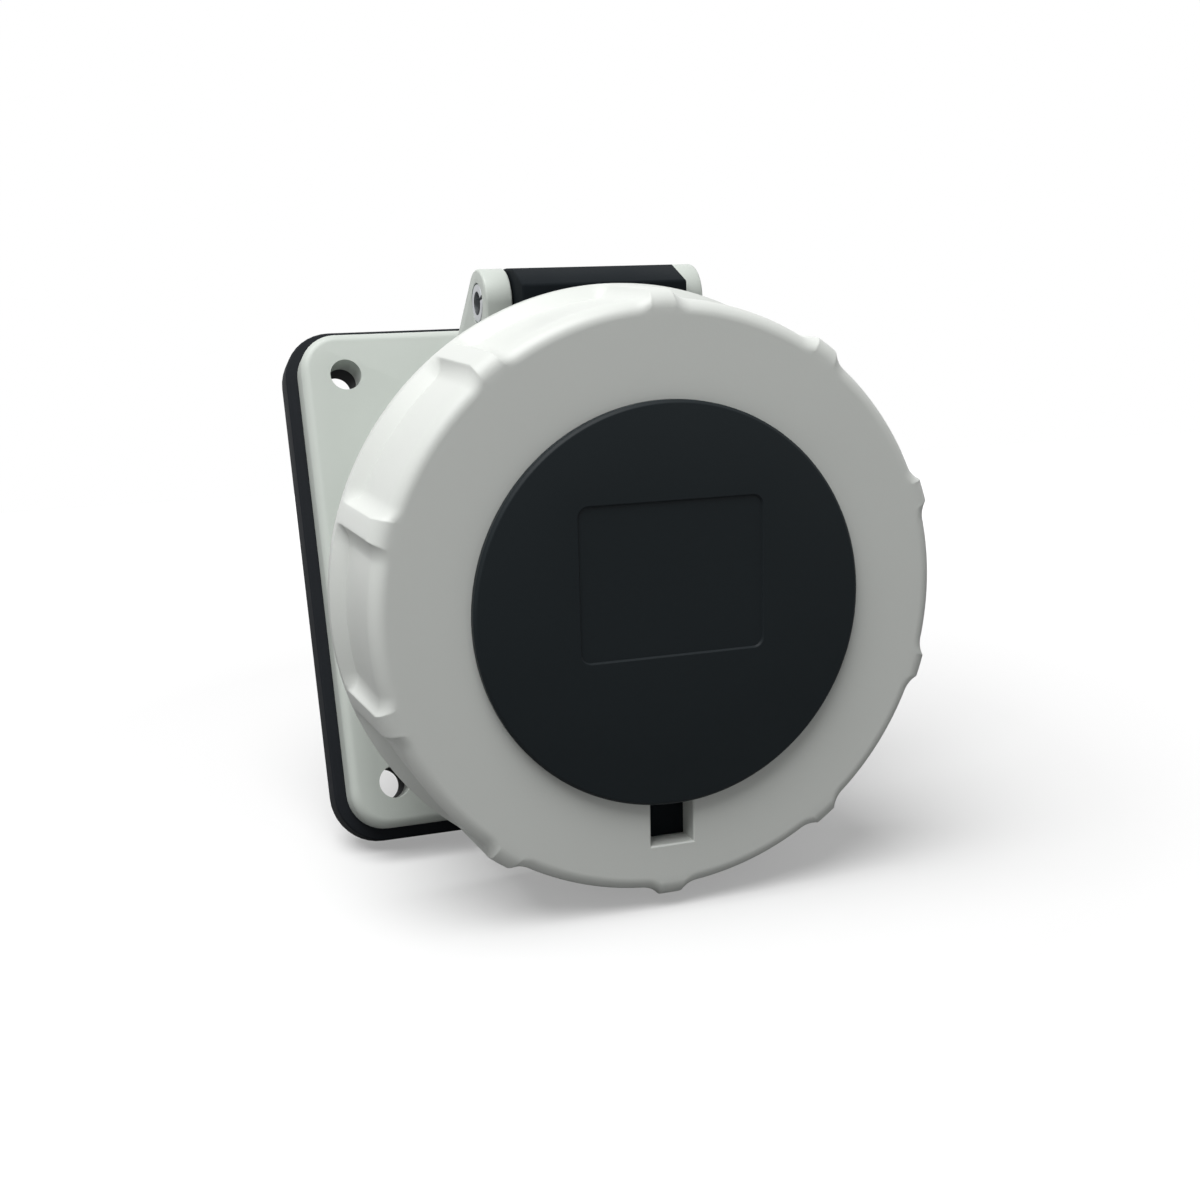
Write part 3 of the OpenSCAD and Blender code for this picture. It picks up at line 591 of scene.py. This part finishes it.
def tubeProfile():
    collar, collarInner, front = housing["collar"], housing["collarInner"], housing["collarFront"]
    skirt, skirtInner, end = housing["skirt"], housing["skirtInner"], housing["skirtBack"]
    floorFront, floorBack, hole = housing["floor"], housing["floorBack"], housing["floorHole"]
    points = [(collarInner, front), (collar, front), (collar, floorBack), (skirt, floorBack), (skirt, end)]
    points += [(skirtInner, end), (skirtInner, floorBack), (hole, floorBack), (hole, floorFront)]
    points.append((collarInner, floorFront))
    return softened(points, housing["soft"])


def ramp(first, steps=15):  # grows thicker over its lead-in
    root, outer, front = housing["rampRoot"], housing["ramp"], housing["rampFront"]
    start = housing["rampFirst"] + first
    bands = []
    for k in range(steps + 1):
        a = start + housing["rampArc"] * k / steps
        lead = max(0.0, 1 - (a - start) / housing["leadArc"])
        back = housing["rampBack"] - lead * (housing["rampBack"] - front) / 2
        corners = ((root, front), (outer, front), (outer, back), (root, back))
        bands.append([(*around(r, math.radians(a)), z) for r, z in corners])
    return bevelled(skin("ramp", bands), housing["rampEdge"], 2, angle=50)


def keyway():
    half = housing["keyWidth"] / 2
    inner, outer = housing["keyInner"], housing["collarInner"] + housing["keyDepth"]
    outline = [(-half, inner), (half, inner), (half, outer), (-half, outer)]
    return pushed("keyway", outline, housing["collarFront"] - past, housing["floor"], alongAxis)


def makeHousing():
    flange = flangePlate()
    ears = makeEars()
    collar = turned("collar", tubeProfile())
    for first in (0, 180):
        shaped(collar, "UNION", ramp(first))
    shaped(collar, "DIFFERENCE", keyway())
    moved(collar, socketSpace)
    shaped(flange, "UNION", *ears)
    start, end = (0, 0, housing["clearFront"]), (0, 0, housing["clearBack"])
    inside = moved(rod("inside", housing["clearRadius"], start, end, steps=160), socketSpace)
    shaped(flange, "DIFFERENCE", inside)
    shaped(flange, "UNION", collar)
    front, back = housing["front"] - housing["holeAhead"], housing["back"] + housing["holeBehind"]
    for x, z in screwPlaces:
        shaped(flange, "DIFFERENCE", rod("screwRoom", housing["hole"], (x, front, z), (x, back, z)))
    start = (-housing["pinHoleHalf"], hingeAt.y, hingeAt.z)
    end = (housing["pinHoleHalf"], hingeAt.y, hingeAt.z)
    shaped(flange, "DIFFERENCE", rod("earBore", housing["pinHole"], start, end))
    return placed(flange, "housing_moulding", panelSpace, "housing", "grey_plastic", "flange_housing")


housingMoulding = makeHousing()
print("housing built:", len(housingMoulding.data.polygons), "faces")

# Gasket, standing out past the flange, with one opening for the collar and four for the screws. openingFrom,
# holeFrom and cutTo are only where the drills for them start and end
gasket = {"over": 2.3, "thick": 6.6, "opening": 45.33, "openingUp": 4.4, "soft": 0.5, "backEdge": 0.3,
          "openingFrom": -8, "holeFrom": -9, "cutTo": 2}


def makeGasket():
    rows = frontRounding(gasket["soft"], -gasket["thick"], steps=3)
    rows += [(0.0, -gasket["backEdge"]), (gasket["backEdge"], 0.0)]
    side, corner = housing["flange"] + 2 * gasket["over"], housing["corner"] + gasket["over"]
    pad = squarePlate("pad", side, corner, rows)
    start, end = (0, gasket["openingFrom"], gasket["openingUp"]), (0, gasket["cutTo"], gasket["openingUp"])
    shaped(pad, "DIFFERENCE", rod("panelOpening", gasket["opening"], start, end, steps=160))
    for x, z in screwPlaces:
        start, end = (x, gasket["holeFrom"], z), (x, gasket["cutTo"], z)
        shaped(pad, "DIFFERENCE", rod("screwRoom", housing["hole"], start, end))
    return placed(pad, "gasket_pad", panelSpace, "housing", "gasket_rubber", "flange_gasket")


makeGasket()

# Hinge pin, rolled from strip, with its slit at the front
pin = {"radius": 3.8, "wall": 1.6, "slit": 0.9, "length": 43.4, "chamfer": 0.4}


def makePin(steps=48):
    half, chamfer = pin["length"] / 2, pin["chamfer"]
    inner = pin["radius"] - pin["wall"]
    gap = math.asin(pin["slit"] / 2 / pin["radius"])
    turns = [math.pi + gap + (math.tau - 2 * gap) * k / steps for k in range(steps + 1)]
    loops = []
    for x, cut in ((-half, chamfer), (-half + chamfer, 0), (half - chamfer, 0), (half, chamfer)):
        loop = [(x, *around(pin["radius"] - cut, a)) for a in turns]
        loops.append(loop + [(x, *around(inner, a)) for a in reversed(turns)])
    pinSpace = Matrix.Translation((0, hingeAt.y, hingeAt.z))
    return placed(skin("rolledPin", loops), "hinge_pin_rolled", pinSpace, "housing", "steel", "hinge_pin")


makePin()
print("gasket and pin built")

# The pieces behind the lid keep their CAD shape
slots = {row["node"]: row["material_slot"] for row in frame["record"]["subparts"]}
for name, obj in frame["nodes"].items():
    obj.data.materials.clear()
    obj.data.materials.append(finishes[slots[name]])
print("inner pieces finished")

# Floor: the socket lies on the ring's rim and the gasket's lower edge, so the floor leans against the panel's
# space. The camera sees shade plus lift, which grows from near to far until the floor is white (both in
# metres), while the socket gets only the light that bounce sends back
floor = {"lean": 22.2, "through": (0.0, 0.0, -52.7), "half": 700.0, "ahead": 900.0, "behind": 420.0,
         "shade": 0.56, "bounce": 0.25, "lift": 0.31, "liftFar": 0.7, "near": 0.13, "far": 0.42}
leanTurn = Matrix.Translation(floor["through"]) @ Matrix.Rotation(math.radians(floor["lean"]), 4, "X")


def grey(level):
    return (level, level, level, 1)


def floorPaper():
    material = bpy.data.materials.new("floor_paper")
    material.use_nodes = True
    nodes, links = material.node_tree.nodes, material.node_tree.links
    nodes.clear()
    output, paper = nodes.new("ShaderNodeOutputMaterial"), nodes.new("ShaderNodeBsdfDiffuse")
    glow, both = nodes.new("ShaderNodeEmission"), nodes.new("ShaderNodeAddShader")
    clear, choose = nodes.new("ShaderNodeBsdfTransparent"), nodes.new("ShaderNodeMixShader")
    rays, place = nodes.new("ShaderNodeLightPath"), nodes.new("ShaderNodeNewGeometry")
    tone = nodes.new("ShaderNodeMix")
    tone.data_type = "RGBA"
    tone.inputs["A"].default_value = grey(floor["bounce"])
    tone.inputs["B"].default_value = grey(floor["shade"])
    links.new(rays.outputs["Is Camera Ray"], tone.inputs["Factor"])
    links.new(tone.outputs["Result"], paper.inputs["Color"])
    away = nodes.new("ShaderNodeVectorMath")
    away.operation = "LENGTH"
    links.new(place.outputs["Position"], away.inputs[0])
    fade = nodes.new("ShaderNodeMapRange")
    fade.inputs["From Min"].default_value = floor["near"]
    fade.inputs["From Max"].default_value = floor["far"]
    fade.inputs["To Min"].default_value = floor["lift"]
    fade.inputs["To Max"].default_value = floor["liftFar"]
    links.new(away.outputs["Value"], fade.inputs["Value"])
    strength = nodes.new("ShaderNodeMath")
    strength.operation = "MULTIPLY"
    links.new(rays.outputs["Is Camera Ray"], strength.inputs[0])
    links.new(fade.outputs["Result"], strength.inputs[1])
    links.new(strength.outputs[0], glow.inputs["Strength"])
    links.new(paper.outputs[0], both.inputs[0])
    links.new(glow.outputs[0], both.inputs[1])
    links.new(place.outputs["Backfacing"], choose.inputs[0])  # seen from below, the floor is clear
    links.new(both.outputs[0], choose.inputs[1])
    links.new(clear.outputs[0], choose.inputs[2])
    links.new(choose.outputs[0], output.inputs["Surface"])
    return material


def makeFloor():
    half, ahead, behind = floor["half"], floor["ahead"], floor["behind"]
    corners = [(-half, -ahead, 0), (half, -ahead, 0), (half, behind, 0), (-half, behind, 0)]
    ground = newObject("floor", corners, [(0, 1, 2, 3)])
    ground.data.transform(toMetres @ leanTurn)
    if ground.data.polygons[0].normal.z < 0:
        ground.data.flip_normals()
    ground.data.materials.append(floorPaper())


makeFloor()

# Light: a large soft box up on the left and a little in front, and an even room. keyAt is in metres, over the
# floor. room is how strongly the room lights, and backdrop how bright the camera, gloss and glass see it
light = {"key": 34.0, "keySize": 1.5, "keyAt": (-0.5, -0.34, 1.42), "room": 0.2, "backdrop": 1.0}


def makeSoftBox(name, at, size, power):
    data = bpy.data.lights.new(name, "AREA")
    data.shape = "DISK"
    data.size = size
    data.energy = power
    box = bpy.data.objects.new(name, data)
    scene.collection.objects.link(box)
    box.location = leanTurn.to_3x3() @ Vector(at)
    box.rotation_euler = (-Vector(box.location)).to_track_quat("-Z", "Y").to_euler()


def makeRoom():
    world = bpy.data.worlds.new("room")
    scene.world = world
    world.use_nodes = True
    nodes, links = world.node_tree.nodes, world.node_tree.links
    rays, share = nodes.new("ShaderNodeLightPath"), nodes.new("ShaderNodeMapRange")
    seen = rays.outputs["Is Camera Ray"]
    for kind in ("Is Glossy Ray", "Is Transmission Ray"):
        either = nodes.new("ShaderNodeMath")
        either.operation = "MAXIMUM"
        links.new(seen, either.inputs[0])
        links.new(rays.outputs[kind], either.inputs[1])
        seen = either.outputs[0]
    share.inputs["To Min"].default_value = light["room"]
    share.inputs["To Max"].default_value = light["backdrop"]
    links.new(seen, share.inputs["Value"])
    links.new(share.outputs["Result"], nodes["Background"].inputs["Strength"])
    nodes["Background"].inputs["Color"].default_value = grey(1)


makeSoftBox("keyBox", light["keyAt"], light["keySize"], light["key"])
makeRoom()
scene.view_settings.view_transform = "Standard"

# Camera, solved from the photograph's circles and straight edges. at is in millimetres, in the panel's space
camera = {"at": (-103.933574, -330.562078, -52.444236), "lens": 48.76701, "sensor": 36,
          "near": 0.01, "far": 20,
          "right": (0.94163912, -0.30745056, -0.13707633), "down": (-0.08941356, 0.16414091, -0.98237619),
          "forward": (0.32453195, 0.93730033, 0.12707126)}


def makeCamera():
    lens = bpy.data.cameras.new("camera")
    lens.lens = camera["lens"]
    lens.sensor_width = camera["sensor"]
    lens.clip_start = camera["near"]
    lens.clip_end = camera["far"]
    eye = bpy.data.objects.new("camera", lens)
    scene.collection.objects.link(eye)
    axes = Matrix((Vector(camera["right"]), -Vector(camera["down"]), -Vector(camera["forward"])))
    eye.matrix_world = Matrix.Translation(toMetres @ Vector(camera["at"])) @ axes.transposed().to_4x4()
    scene.camera = eye


makeCamera()
print("floor, light and camera set")
